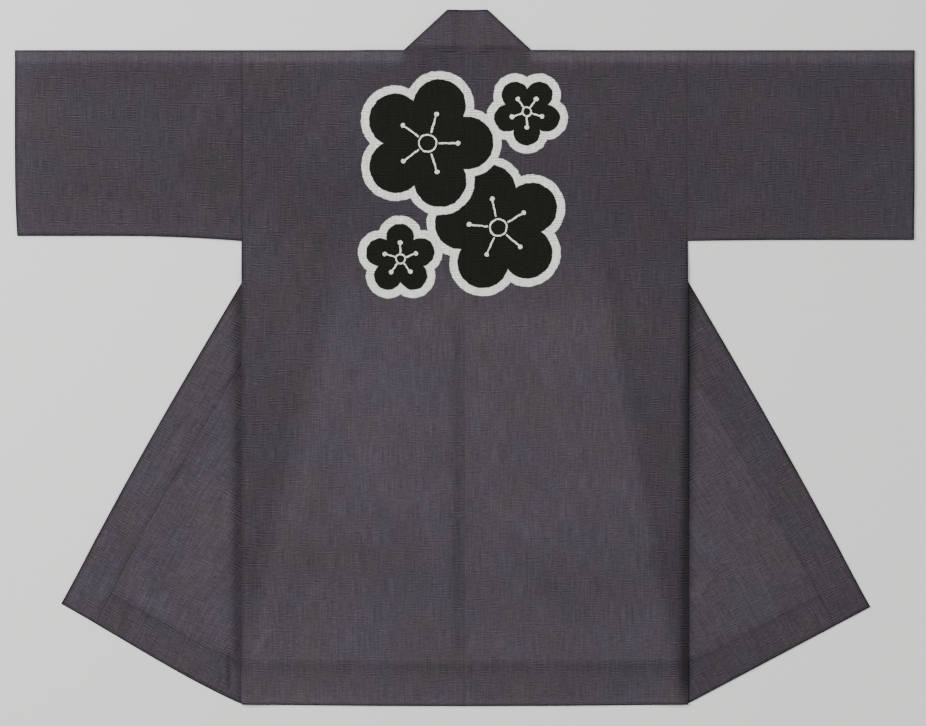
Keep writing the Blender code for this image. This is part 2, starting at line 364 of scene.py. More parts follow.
def feed(tree, node, inputs):
    """Link a node's inputs to other nodes or their sockets, or give them values."""
    for key, value in inputs.items():
        if isinstance(value, bpy.types.Node):
            value = next(socket for socket in value.outputs if socket.enabled)
        if isinstance(value, bpy.types.NodeSocket):
            tree.links.new(value, node.inputs[key])
        else:
            node.inputs[key].default_value = value


def add(tree, kind, inputs, **settings):
    """Add a node with its settings and its inputs."""
    node = tree.nodes.new(kind)
    for key, value in settings.items():
        setattr(node, key, value)
    feed(tree, node, inputs)
    return node


# Threads of 0.5 mm are drawn 1.5 to 2 mm wide, and the doubled threads of a slub 3.7 mm apart, so
# that they show. A row gives how many features come to a metre across and up, and their dye.
Thread = namedtuple("Thread", "across up detail low high dark light")
THREADS = (
    Thread(80.0, 600.0, 2.0, 0.25, 0.75, 0.80, 1.20),     # weft
    Thread(560.0, 26.0, 2.0, 0.25, 0.75, 0.77, 1.23),     # warp
    Thread(520.0, 480.0, 1.0, 0.25, 0.75, 0.78, 1.22),    # where they cross
    Thread(5.0, 7.0, 4.0, 0.30, 0.70, 0.94, 1.06),        # uneven dye
)
SLUB = Thread(48.0, 105.0, 0.0, 0.57, 0.65, 0.0, 0.34)   # bundles of doubled weft threads
SLUB_ROWS = 0.0037
SLUB_STRENGTH = (-1.6, 2.85)    # slope and start: light that comes through the cloth hides slubs
DYES = ("3d393c", "3e383f", "3d3940")                     # olive, plum and blue-grey charcoal


def slub_cotton(name, print_on=None):
    """Plain-weave slub cotton, dyed in the thread: matt, with a soft nap that lightens what is
    seen aslant, and a dye that is uneven from thread to thread and from hand to hand."""
    made = bpy.data.materials.new(name)
    made.use_nodes = True
    tree = made.node_tree
    in_cut = add(tree, "ShaderNodeAttribute", {}, attribute_name="cut").outputs["Vector"]

    def thread_tone(row):
        place = add(tree, "ShaderNodeMapping", {"Vector": in_cut, "Scale": (row.across, row.up, 1.0)})
        noise = add(tree, "ShaderNodeTexNoise", {"Vector": place, "Scale": 1.0,
                                                 "Detail": row.detail, "Roughness": 0.6})
        return add(tree, "ShaderNodeMapRange", {"Value": noise, "From Min": row.low,
                                                "From Max": row.high, "To Min": row.dark,
                                                "To Max": row.light})

    shade = add(tree, "ShaderNodeAttribute", {}, attribute_name="shade").outputs["Fac"]
    strength = add(tree, "ShaderNodeMath", {0: shade, 1: SLUB_STRENGTH[0], 2: SLUB_STRENGTH[1]},
                   operation="MULTIPLY_ADD")
    bundles = add(tree, "ShaderNodeMath", {0: thread_tone(SLUB), 1: strength},
                  operation="MULTIPLY")
    up = add(tree, "ShaderNodeSeparateXYZ", {0: in_cut}).outputs["Y"]
    sway = add(tree, "ShaderNodeTexNoise", {"Vector": in_cut, "Scale": 40.0, "Detail": 1.0})
    swayed = add(tree, "ShaderNodeMath", {0: sway, 1: SLUB_ROWS, 2: up}, operation="MULTIPLY_ADD")
    row_turn = add(tree, "ShaderNodeMath", {0: swayed, 1: 2 * math.pi / SLUB_ROWS},
                   operation="MULTIPLY")
    rows = add(tree, "ShaderNodeMath", {0: row_turn}, operation="SINE")
    tone = add(tree, "ShaderNodeMath", {0: rows, 1: bundles, 2: 1.0}, operation="MULTIPLY_ADD")
    for row in THREADS:
        tone = add(tree, "ShaderNodeMath", {0: tone, 1: thread_tone(row)}, operation="MULTIPLY")
    depth = add(tree, "ShaderNodeMath", {0: tone, 1: shade}, operation="MULTIPLY")
    hues = add(tree, "ShaderNodeTexNoise", {"Vector": in_cut, "Scale": 14.0, "Detail": 3.0,
                                            "Roughness": 0.55})
    hue = add(tree, "ShaderNodeMapRange", {"Value": hues, "From Min": 0.36, "From Max": 0.64})
    dye = add(tree, "ShaderNodeValToRGB", {"Fac": hue})
    dye.color_ramp.elements.new(0.5)
    for place, colour in zip(dye.color_ramp.elements, DYES):
        place.color = linear(colour)
    colour = add(tree, "ShaderNodeVectorMath", {0: dye, "Scale": depth}, operation="SCALE")
    if print_on is not None:
        colour = print_on(tree, colour, tone)
    relief = add(tree, "ShaderNodeBump", {"Strength": 0.4, "Distance": 0.0008, "Height": tone})
    feed(tree, tree.nodes["Principled BSDF"], {
        "Base Color": colour, "Normal": relief, "Roughness": 0.92, "Specular IOR Level": 0.12,
        "Sheen Weight": 0.05, "Sheen Roughness": 0.5})
    return made


front_cotton = slub_cotton("slub cotton, front")
for side in SIDES:
    cloth = cut_cloth(HALF_BACK - FRONT_WIDTH - TUCK, HALF_BACK, -LENGTH, -SHOULDER_ROLL - SEAM,
                      FRONT_BOLT * side.sign)
    turn_under(cloth, *slant(side), ROLL)

    def lay(x, y, layer):
        cut_x, cut_y = turned(side, x, y)
        in_hem = 1 - ramp(cut_y, FRONT_HEM_TOP - HEM_STEP, FRONT_HEM_TOP + HEM_STEP)
        shown = ramp(x, HALF_BACK + SHOWS[0], HALF_BACK + SHOWS[1])
        thickness = CLOTH + (HEM_CLOTH - CLOTH) * in_hem * shown
        pressed = SINK * (1 - ramp(HALF_BACK - x, 0.0, SINK_RUN))
        upper = np.maximum(under_front(side, x, y) - pressed, 0.0) + CLOTH / 2
        middle = layer * upper + (1 - layer) * thickness / 2
        loose = shown * np.clip((cut_y + LENGTH) / HEM_HOLD, HEM_LOOSE, 1.0)
        # Painted light where the cloth lies single, and painted shade at the hem's top, along the
        # collar's seam, beside the side seam and along the pressed hem edge.
        shade = SINGLE + (HEMMED - SINGLE) * in_hem - soft(HEM_LINE, cut_y - FRONT_HEM_TOP)
        shade = shade - uneven(cut_y) * soft(BAND_LINE, cut_x - HALF_BACK + FRONT_WIDTH)
        shade = shade * side_seam_shadow(side, x, y) * (1 - soft(RIM, cut_y + LENGTH))
        return *drawn_out(side, x, y), middle, thickness, shade, loose

    front = lay_out(f"front_{side.name}", cloth, side.sign, HEM_CLOTH, lay,
                    FRONT_CREASES[side.name])
    front.data.materials.append(front_cotton)
    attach(front, "root")
    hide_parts(f"front_{side.name}")

# The collar down the front edges
# A band of the same cotton, folded round a stiff cotton lining and sewn to each front edge. It
# turns out with the front, and lies on the floor along the outer edge of what shows.
BAND = 0.0022            # thickness of the band
BAND_END = 0.050         # shoulder fold to the hidden upper end of each band
BAND_BOLT = 2.7
# How pale each band's colour is painted; the right one is painted darker, as painted shade where less
# light falls.
BAND_TONE = {"left": 1.29, "right": 1.16}
ROUNDED = (0.0003, 0.0007, BAND / 2)      # inside its folded edges, where the rounding is scored
LEAST_ROUNDED = 0.3
THINNED = 0.42           # share of the thickness at its seam
THIN_RUN = 0.007
STIFF = 0.0002           # half the height of its buckles, which come from the stiff lining
STIFF_WAVE = (0.021, 0.05)
STIFF_RUN = 0.01         # distance from its seam over which the buckles set in
collar_cotton = slub_cotton("slub cotton over a lining, collar")


def rounded(distance):
    """Share of the collar's thickness at a distance inside its folded edge."""
    inside = np.clip(distance / (BAND / 2), 0.0, 1.0)
    return np.maximum(np.sqrt(1 - (1 - inside) ** 2), LEAST_ROUNDED)


def thinned(distance):
    """Share of the collar's thickness beside its seam, where it thins to the cloth alone."""
    return np.interp(distance, (0.0, THIN_RUN), (THINNED, 1.0))


def score_edge(cloth, place, normal):
    """Score a band where its folded edge rounds off."""
    for inside in ROUNDED:
        score(cloth, place, normal, -inside)


outer = HALF_BACK - FRONT_WIDTH - SEAM - BAND_WIDTH
inner = outer + BAND_WIDTH
for side in SIDES:
    cloth = cut_cloth(outer, inner, -LENGTH, -BAND_END, BAND_BOLT * side.sign)
    score_edge(cloth, (outer, 0.0), (-1.0, 0.0))
    score_edge(cloth, (0.0, -LENGTH), (0.0, -1.0))

    def lay(x, y, layer):
        place = turned(side, x, y)
        thin = thinned(inner - x)
        thickness = BAND * np.minimum.reduce([rounded(x - outer), thin, rounded(y + LENGTH)])
        buckled = STIFF * (1 + wander(y, *STIFF_WAVE)) * ramp(inner - x, 0.0, STIFF_RUN)
        # Painted shade along its seam, its pressed edges and beside the side seam.
        shade = BAND_TONE[side.name] - uneven(y) * soft(BAND_LINE, x - inner)
        shade = shade * (1 - np.maximum(soft(RIM, x - outer), soft(RIM, y + LENGTH)))
        shade = shade * side_seam_shadow(side, *place)
        return *drawn_out(side, *place), BAND * thin / 2 + buckled, thickness, shade, 0.0

    band = lay_out(f"collar_{side.name}", cloth, side.sign, BAND, lay)
    band.data.materials.append(collar_cotton)
    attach(band, "root")
    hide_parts(f"collar_{side.name}")

# The sleeves
# Each is one narrow width of the cotton, folded over the shoulder, closed along the underarm and
# open at cuff and armhole. It holds a little air, and is painted paler along its folds and cuff, as
# painted light.
HALF_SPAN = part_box("sleeve_right")[1][0]
SLEEVE_DEPTH = 0.281     # shoulder fold to underarm, at the armhole
SLEEVE_DRAPE = 0.19      # length over which it narrows from armhole to cuff
SLEEVE_BOLT = 4.1
SLEEVE_CREASES = {
    "left": (
        Crease(-0.350, 0.030, -0.410, 0.150, 0.0120, 0.0009),
        Crease(-0.470, 0.235, -0.610, 0.222, 0.0090, 0.0008),
        Crease(-0.560, 0.060, -0.640, 0.110, 0.0140, 0.0008),
        Crease(-0.345, 0.262, -0.420, 0.205, 0.0080, 0.0010),
    ),
    "right": (
        Crease(0.352, 0.250, 0.450, 0.215, 0.0090, 0.0010),
        Crease(0.560, 0.205, 0.648, 0.150, 0.0110, 0.0010),
        Crease(0.400, 0.060, 0.520, 0.090, 0.0150, 0.0007),
        Crease(0.610, 0.040, 0.650, 0.120, 0.0080, 0.0008),
    ),
}
AIR = 0.0024             # how far the air lifts the cloth between its two folds
AIR_ALONG = ((0.0, 0.0), (0.2, 0.55), (0.5, 1.0), (0.8, 0.8), (1.0, 0.45))   # armhole to cuff
FOLD_LIFT = Line(0.006, 0.0065, 0.0013)   # the cloth rises out of a fold and sinks again
UNDERARM_LIFT = 0.6      # share of that lift at the underarm

# The cuff's depth, how far its lower corner is cut back, how much paler its edge is painted, as
# painted sheen, and how pale the sleeve's colour is painted. The left cuff has the stronger sheen.
Cuff = namedtuple("Cuff", "depth cut_back fade dye")
CUFFS = {
    "left": Cuff(depth=0.2735, cut_back=0.0035, fade=0.28, dye=1.00),
    "right": Cuff(depth=0.2795, cut_back=0.001, fade=0.07, dye=1.03),
}
CUT_BACK_CURVE = 6       # power of the way down that draws the cuff's edge back
UNDERARM_SHEEN = 0.14     # how much paler the underarm's edge is painted, as painted sheen
EDGE_SHEEN_RUN = 0.028        # distance over which the painted sheen of cuff and underarm dies away
FOLD_HIGHLIGHT = 0.50         # how much paler the shoulder fold is painted, as painted light that its rounded edge catches
FOLD_HIGHLIGHT_DOWN = ((0.014, 1.0), (0.0175, 0.62), (0.020, 0.22), (0.030, 0.0))
ARMHOLE_LINE = Line(0.0, 0.003, 0.02)
sleeve_cotton = slub_cotton("slub cotton, sleeve")


def fold_highlight(inside):
    """How pale the colour is painted along the shoulder fold, as painted light that its rounded edge
    catches.
    """
    return 1 + FOLD_HIGHLIGHT * follow(FOLD_HIGHLIGHT_DOWN, inside)


around = math.pi * ROLL
underarm = SHOULDER_ROLL - SLEEVE_DEPTH
ring_end = around + SLEEVE_DEPTH - 3 * SHOULDER_ROLL     # just short of the underarm's fold
for side in SIDES:
    cloth = cut_cloth(HALF_BACK - TUCK, HALF_SPAN, underarm - around, ring_end,
                      SLEEVE_BOLT * side.sign)
    turn_under(cloth, (0.0, -SHOULDER_ROLL), (0.0, 1.0), ROLL)
    turn_under(cloth, (0.0, underarm), (0.0, -1.0), ROLL)

    def lay(x, y, layer):
        cuff = CUFFS[side.name]
        from_body = x - HALF_BACK
        from_cuff = HALF_SPAN - x
        along = from_body / (HALF_SPAN - HALF_BACK)
        down = -y / SLEEVE_DEPTH
        widening = np.clip(1 - from_body / SLEEVE_DRAPE, 0.0, 1.0) ** 2
        depth = cuff.depth + (SLEEVE_DEPTH - cuff.depth) * widening
        from_fold = down * depth
        from_underarm = (1 - down) * depth
        air = AIR * follow(AIR_ALONG, along) * np.sin(math.pi * np.clip(down, 0.0, 1.0))
        air = air + soft(FOLD_LIFT, from_fold) + UNDERARM_LIFT * soft(FOLD_LIFT, from_underarm)
        # Painted light along the shoulder fold, painted sheen along cuff and underarm, and painted
        # shade along the pressed edges.
        shade = fold_highlight(from_fold) + cuff.fade * np.exp(-from_cuff / EDGE_SHEEN_RUN)
        shade = shade + cuff.dye - 1 + UNDERARM_SHEEN * np.exp(-from_underarm / EDGE_SHEEN_RUN)
        shade = shade - soft(ARMHOLE_LINE, from_body)
        rim = np.maximum.reduce([soft(RIM, edge) for edge in (from_cuff, from_fold, from_underarm)])
        x = x - cuff.cut_back * along * down ** CUT_BACK_CURVE
        return x, -from_fold, layer * (2 * ROLL + air) + CLOTH / 2, CLOTH, shade * (1 - rim), layer

    sleeve = lay_out(f"sleeve_{side.name}", cloth, side.sign, CLOTH, lay,
                     SLEEVE_CREASES[side.name])
    sleeve.data.materials.append(sleeve_cotton)
    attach(sleeve, "root")
    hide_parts(f"sleeve_{side.name}")

# The back
# Two narrow widths of the cotton, joined down the centre with their spare cloth pressed to the
# left, and hemmed below. The large print is black pigment with an off-white outline.
BACK_HEM = 0.068
BACK_HEM_TOP = BACK_HEM - LENGTH
HEM_SAG = 0.0025         # how much longer the coat is at the centre back
CENTRE_GAP = SEAM / 6    # half the gap at the centre seam
NECK_WIDTH = 0.0937      # middle of the neck to neck point
NECK_SHIFT = 0.004       # how far the neck lies to the right of the centre back
NECK_SOFT = 0.004        # to each side of a neck point, where the shoulder fold sets in
BACK_BOLT = 5.9
BACK_CREASES = {
    "left": (
        Crease(-0.3085, 0.896, -0.2850, 0.848, 0.0060, 0.0022),
        Crease(-0.3200, 0.760, -0.3180, 0.900, 0.0050, 0.0012),
        Crease(-0.060, 0.640, -0.030, 0.780, 0.0180, 0.0010),
        Crease(-0.200, 0.720, -0.120, 0.745, 0.0140, -0.0009),
        Crease(-0.150, 0.560, -0.100, 0.700, 0.0160, 0.0008),
        Crease(-0.270, 0.330, -0.240, 0.450, 0.0150, 0.0006),
    ),
    "right": (
        Crease(0.075, 0.730, 0.200, 0.860, 0.0150, -0.0011),
        Crease(0.030, 0.560, 0.060, 0.720, 0.0170, 0.0008),
        Crease(0.120, 0.420, 0.160, 0.640, 0.0200, 0.0008),
        Crease(0.250, 0.300, 0.262, 0.480, 0.0110, 0.0009),
    ),
}
BACK_CLEAR = 0.006       # how far past a front's slanted fold the back keeps its full height
BACK_DRAPE = 0.055       # and over how much more it comes down to the floor
SIDE_SINK = ((0.0, 1.0), (0.004, 0.55), (0.012, 0.0))     # from the side, how far it is pressed down
SINK_DOWN = ((SLEEVE_DEPTH - 0.006, 0.0007), (SLEEVE_DEPTH + 0.02, 0.0013))  # armhole, side seam
SPARE_LIFT = 0.0003      # the spare cloth of the centre seam, beneath the left half
SPARE_ACROSS = ((-0.013, 0.0), (-0.010, 1.0), (-0.001, 1.0), (0.0, 0.0))
HEM_GROOVE = Line(0.002, 0.004, 0.0003)   # the stitches draw the cloth in above the hem

# The back is painted paler, as painted light that comes through it, where it lies single over the
# floor rather than over a front, as far as an edge that lies this far outside the slanted fold at the
# hem and at the top, over this softness. The left of the hem is painted paler than the right, as
# painted light that falls more from the left.
Over = namedtuple("Over", "at_hem at_top soft_edge hem_dye")
OVER = {
    "left": Over(at_hem=0.012, at_top=0.026, soft_edge=0.015, hem_dye=1.05),
    "right": Over(at_hem=-0.008, at_top=0.060, soft_edge=0.009, hem_dye=0.97),
}
OVER_FRONT = 1.08        # how pale its colour is painted over a front
FRONT_DOWN = (0.22, 0.42)                 # from the shoulder, where that sets in
OVER_FLOOR = 1.43        # and where it lies single, as painted light that comes through it
FLOOR_DOWN = (0.28, 0.40)
STRIPES = (Line(-0.765, 0.075, 0.08), Line(-0.60, 0.1, 0.03))    # painted shade of two soft hollows across the back
CENTRE_LINE = Line(-0.011, 0.009, 0.22)   # painted shade along the edge of the centre seam's spare cloth
CENTRE_DOWN = ((0.36, 0.0), (0.42, 1.0), (0.80, 1.0), (0.92, 0.2))
HEM_SHADE = 0.23         # painted shade below the top of the hem
HEM_SHADE_TOP = 0.011    # its darkest place, below the top of the hem
HEM_SHADE_RISE = 0.009   # distance over which it comes up above that place
HEM_SHADE_FALL = 0.024   # and dies away below it
HEM_TONE_STEP = 0.01      # half the run over which the hem's own painted tone sets in
HEM_EDGE_SHEEN = 0.15          # the lower edge is painted paler, as painted sheen
HEM_EDGE_SHEEN_RUN = 0.014
SHOULDER_HIGHLIGHT = 1.35     # the fold's painted light is stronger here than on the sleeves
OPEN_SIDE = ((SLEEVE_DEPTH - 0.002, 0.0), (SLEEVE_DEPTH + 0.004, 1.0),
             (0.334, 1.0), (0.342, 0.0))  # where the side edge shows, between sleeve and front

# The print's blossoms: where each has its middle from the middle of the print, how far its petals
# reach and by what angle it is turned. They lie one over another in this order.
Blossom = namedtuple("Blossom", "across up reach turn")
BLOSSOMS = (
    Blossom(-0.092, -0.106, 0.052, 0.30),
    Blossom(0.094, 0.110, 0.050, 0.95),
    Blossom(0.052, -0.060, 0.094, 0.10),
    Blossom(-0.052, 0.064, 0.097, 0.62),
)
PRINT_MIDDLE = (-0.0025, SHOULDER_Y - 0.201)
OUTLINE = 0.0115         # width of the off-white outline
PRINT_EDGE = 0.0006      # half the softness of a printed edge
INK_CREEP = 0.0035       # how far the ink creeps along the threads
INK = "181914"
OUTLINE_INK = "e9ebe2"
LINE_WIDTH = 0.0012      # half the width of the fine lines left in the ink
HEAD_SIZE = 0.0022

# A blossom's five petals are circles round a heart. In the ink are a ring, and a stalk with a round
# head for each petal. These are shares of its reach: to the middle of each, and its own radius or
# half length.
PETAL_AT = 0.60
PETAL = 0.40
HEART = 0.36
RING = 0.13
STALK_AT = 0.30
STALK = 0.12
HEAD_AT = 0.46
PETAL_TURN = 2 * math.pi / 5

# Each step makes a number from those before it.
Step = namedtuple("Step", "makes operation inputs")
PETAL_STEPS = (
    Step("bearing", "ARCTAN2", ("up", "across")),
    Step("turned", "ADD", ("bearing", "turn")),
    Step("in its petal", "FLOORED_MODULO", ("turned", PETAL_TURN)),
    Step("off its middle", "SUBTRACT", ("in its petal", PETAL_TURN / 2)),
    Step("cosine", "COSINE", ("off its middle",)),
    Step("sine", "SINE", ("off its middle",)),
    Step("along", "MULTIPLY", ("far", "cosine")),
    Step("aside", "MULTIPLY", ("far", "sine")),
    Step("aside squared", "MULTIPLY", ("aside", "aside")),
    Step("past petal", "MULTIPLY_ADD", ("reach", -PETAL_AT, "along")),
    Step("petal squares", "MULTIPLY_ADD", ("past petal", "past petal", "aside squared")),
    Step("from petal", "SQRT", ("petal squares",)),
    Step("outside petal", "MULTIPLY_ADD", ("reach", -PETAL, "from petal")),
    Step("outside heart", "MULTIPLY_ADD", ("reach", -HEART, "far")),
    Step("outside", "MINIMUM", ("outside petal", "outside heart")),
    Step("past ring", "MULTIPLY_ADD", ("reach", -RING, "far")),
    Step("ring", "ABSOLUTE", ("past ring",)),
    Step("past stalk", "MULTIPLY_ADD", ("reach", -STALK_AT, "along")),
    Step("stalk run", "ABSOLUTE", ("past stalk",)),
    Step("stalk end", "MULTIPLY_ADD", ("reach", -STALK, "stalk run")),
    Step("stalk side", "ABSOLUTE", ("aside",)),
    Step("stalk", "MAXIMUM", ("stalk side", "stalk end")),
    Step("past head", "MULTIPLY_ADD", ("reach", -HEAD_AT, "along")),
    Step("head squares", "MULTIPLY_ADD", ("past head", "past head", "aside squared")),
    Step("from head", "SQRT", ("head squares",)),
    Step("head", "SUBTRACT", ("from head", HEAD_SIZE)),
    Step("ring or stalk", "MINIMUM", ("ring", "stalk")),
    Step("nearest", "MINIMUM", ("ring or stalk", "head")),
    Step("on a line", "LESS_THAN", ("nearest", LINE_WIDTH)),
)


def plum_blossom():
    """A node group with a five-petalled blossom: how far a place lies outside its petals, and
    whether it lies on the fine lines that are left in the ink."""
    group = bpy.data.node_groups.new("plum blossom", "ShaderNodeTree")
    for name, way, kind in (("Place", "INPUT", "Vector"), ("Middle", "INPUT", "Vector"),
                            ("Reach", "INPUT", "Float"), ("Turn", "INPUT", "Float"),
                            ("Outside", "OUTPUT", "Float"), ("Line", "OUTPUT", "Float")):
        group.interface.new_socket(name, in_out=way, socket_type=f"NodeSocket{kind}")
    given = add(group, "NodeGroupInput", {}).outputs
    from_middle = add(group, "ShaderNodeVectorMath", {0: given["Place"], 1: given["Middle"]},
                      operation="SUBTRACT")
    parts = add(group, "ShaderNodeSeparateXYZ", {0: from_middle}).outputs
    far = add(group, "ShaderNodeVectorMath", {0: from_middle}, operation="LENGTH")
    found = {"across": parts["X"], "up": parts["Y"], "far": far, "reach": given["Reach"],
             "turn": given["Turn"]}
    for step in PETAL_STEPS:
        inputs = {place: found.get(value, value) for place, value in enumerate(step.inputs)}
        found[step.makes] = add(group, "ShaderNodeMath", inputs, operation=step.operation)
    add(group, "NodeGroupOutput", {"Outside": found["outside"], "Line": found["on a line"]})
    return group


def print_blossoms(tree, colour, tone):
    """Print the blossoms over the dye, one over another, each with its outline first. The pigment
    is matt, and as uneven as the threads that it lies on."""
    place = add(tree, "ShaderNodeTexCoord", {}).outputs["Object"]
    rough = add(tree, "ShaderNodeTexNoise", {"Vector": place, "Scale": 130.0, "Detail": 3.0})
    stray = add(tree, "ShaderNodeVectorMath", {0: rough.outputs["Color"], 1: (0.5, 0.5, 0.5)},
                operation="SUBTRACT")
    edge = add(tree, "ShaderNodeVectorMath", {0: stray, "Scale": INK_CREEP}, operation="SCALE")
    inked = add(tree, "ShaderNodeVectorMath", {0: place, 1: edge}, operation="ADD")
    flat = add(tree, "ShaderNodeVectorMath", {0: inked, 1: (1.0, 1.0, 0.0)}, operation="MULTIPLY")
    black = add(tree, "ShaderNodeVectorMath", {0: linear(INK)[:3], "Scale": tone},
                operation="SCALE")
    white = add(tree, "ShaderNodeVectorMath", {0: linear(OUTLINE_INK)[:3], "Scale": tone},
                operation="SCALE")
    blossom = plum_blossom()
    for row in BLOSSOMS:
        middle = (PRINT_MIDDLE[0] + row.across, PRINT_MIDDLE[1] + row.up, 0.0)
        shape = add(tree, "ShaderNodeGroup", {"Place": flat, "Middle": middle, "Reach": row.reach,
                                              "Turn": row.turn}, node_tree=blossom).outputs
        outline, petals = (
            add(tree, "ShaderNodeMapRange", {
                "Value": shape["Outside"], "From Min": limit - PRINT_EDGE,
                "From Max": limit + PRINT_EDGE, "To Min": 1.0, "To Max": 0.0})
            for limit in (OUTLINE, 0.0))
        solid = add(tree, "ShaderNodeMath", {0: petals, 1: shape["Line"]}, operation="SUBTRACT",
                    use_clamp=True)
        for cover, ink in ((outline, white), (solid, black)):
            colour = add(tree, "ShaderNodeMix", {"Factor": cover, "A": colour, "B": ink},
                         data_type="VECTOR")
    return colour


def sagged(x, y):
    """How far down a place of the back lies, as the back is a little longer at the centre."""
    return y * (1 + HEM_SAG * (1 - (x / HALF_BACK) ** 2) / LENGTH)


def under_back(side, x, y):
    """Height of the back, over the front as far as its slanted fold, then down to the floor."""
    held_up = 1 - eased(past_slant(side, x, y), BACK_CLEAR, BACK_DRAPE)
    return (under_front(side, x, y) + SOLID_CLOTH + SEAM) * held_up


def back_tone(side, x, y):
    """How dark the back's colour is painted: painted light where it lies single, painted shade along
    its seams, in two hollows and below the top of its hem, and painted sheen along its lower edge.
    """
    over = OVER[side.name]
    edge = over.at_hem + (over.at_top - over.at_hem) * (y + LENGTH) / LENGTH
    single = ramp(past_slant(side, x, y) + edge, -over.soft_edge, over.soft_edge)
    shade = 1.0 + (OVER_FRONT - 1.0) * ramp(-y, *FRONT_DOWN)
    shade = shade + (OVER_FLOOR - OVER_FRONT) * single * ramp(-y, *FLOOR_DOWN)
    shade = shade * (1 - sum(soft(stripe, y) for stripe in STRIPES))
    shade = shade * (1 - soft(CENTRE_LINE, side.sign * x) * follow(CENTRE_DOWN, -y))
    below = BACK_HEM_TOP - HEM_SHADE_TOP - y
    in_hem = np.where(below < 0, bell(below, HEM_SHADE_RISE), np.exp(-below / HEM_SHADE_FALL))
    shade = shade * (1 - HEM_SHADE * in_hem)
    shade = shade * (1 + HEM_EDGE_SHEEN * np.clip(1 - (y + LENGTH) / HEM_EDGE_SHEEN_RUN, 0.0, 1.0))
    above = ramp(y, BACK_HEM_TOP - HEM_TONE_STEP, BACK_HEM_TOP + HEM_TONE_STEP)
    shade = shade * (1 + (over.hem_dye - 1) * (1 - above))
    return shade * side_seam_shadow(side, x, y) * (1 - soft(ARMHOLE_LINE, x - HALF_BACK))


back_cotton = slub_cotton("slub cotton with pigment print, back", print_blossoms)
for side in SIDES:
    neck = NECK_WIDTH + side.sign * NECK_SHIFT - TUCK
    cloth = cut_cloth(CENTRE_GAP, HALF_BACK, -LENGTH, math.pi * ROLL - SHOULDER_ROLL,
                      BACK_BOLT * side.sign)
    score(cloth, (neck, 0.0), (1.0, 0.0))
    score(cloth, (0.0, -SHOULDER_ROLL), (0.0, 1.0))
    opening = [face for face in cloth.faces if face.calc_center_median().x < neck
               and face.calc_center_median().y > -SHOULDER_ROLL]
    bmesh.ops.delete(cloth, geom=opening, context="FACES")
    for rise in (-HEM_STEP, HEM_STEP):
        score(cloth, (0.0, BACK_HEM_TOP + rise), (0.0, 1.0))
    turn_under(cloth, (0.0, -SHOULDER_ROLL), (0.0, 1.0), ROLL)

    def lay(x, y, layer):
        in_hem = 1 - ramp(y, BACK_HEM_TOP - HEM_STEP, BACK_HEM_TOP + HEM_STEP)
        at_neck = ramp(x, neck - NECK_SOFT, neck + NECK_SOFT)
        thickness = CLOTH + (HEM_CLOTH - CLOTH) * in_hem
        pressed = follow(SINK_DOWN, -y) * follow(SIDE_SINK, HALF_BACK - x)
        upper = under_back(side, x, y) + thickness / 2 - pressed
        upper = upper + soft(FOLD_LIFT, -y) * at_neck - soft(HEM_GROOVE, y - BACK_HEM_TOP)
        upper = upper + SPARE_LIFT * follow(SPARE_ACROSS, side.sign * x)
        lower = under_front(side, x, y) + CLOTH / 2
        # Painted light along the shoulder fold beside the neck, and painted shade along the pressed
        # edges.
        fold_light = 1 + SHOULDER_HIGHLIGHT * (fold_highlight(-y) - 1) * at_neck
        rim = np.maximum.reduce([soft(RIM, y + LENGTH), soft(RIM, y) * at_neck,
                                 soft(RIM, x - HALF_BACK) * follow(OPEN_SIDE, -y)])
        return (x, sagged(x, y), layer * upper + (1 - layer) * lower, thickness,
                back_tone(side, x, y) * fold_light * (1 - rim), layer)

    back = lay_out(f"back_{side.name}", cloth, side.sign, HEM_CLOTH, lay, BACK_CREASES[side.name])
    back.data.materials.append(back_cotton)
    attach(back, "root")
    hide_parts(f"back_{side.name}")

# The collar at the back neck
# The same lined band where it stands up behind the neck, turned under along a slant at each
# neck point, before it runs down the fronts.
COLLAR_RISE = 0.059
COLLAR_TOP = 0.030       # half of its upper edge
NECK_DRAPE = 0.016       # length over which it comes down beside a turn
NECK_BOLT = 0.0
NECK_DYE = 1.23
PALE_TOP = Line(0.0, 0.006, -0.08)        # paler along its upper edge
SEAM_LINES = (Line(0.0020, 0.0016, 0.42), Line(0.0054, 0.0016, 0.26))   # above the neck seam
LINE_REACH = 0.085       # from the middle, where these lines fade away
LINE_FULL = 1.15         # more than 1, so that they keep their full strength for some way
LINE_GAP = Line(0.006, 0.010, 0.85)       # and beside the middle, where they all but vanish
band_roll = (BAND + SEAM) / 2
inset = band_roll + BAND / 2
seam_line = -SHOULDER_ROLL - TUCK
spare = COLLAR_RISE + NECK_WIDTH - COLLAR_TOP
neck_slant = math.atan2(NECK_WIDTH - COLLAR_TOP, COLLAR_RISE)
cloth = cut_cloth(-NECK_WIDTH - spare, NECK_WIDTH + spare, seam_line, COLLAR_RISE, NECK_BOLT)
score_edge(cloth, (0.0, COLLAR_RISE), (0.0, 1.0))
for line in SEAM_LINES:
    for rise in (-line.width, 0.0, line.width):
        score(cloth, (0.0, line.at + rise), (0.0, 1.0))
for sign in (-1.0, 1.0):
    normal = (sign * math.cos(neck_slant), math.sin(neck_slant))
    place = (sign * NECK_WIDTH - normal[0] * inset, -normal[1] * inset)
    turn_under(cloth, place, normal, band_roll)
score(cloth, (0.0, seam_line), (0.0, -1.0), trim=True)


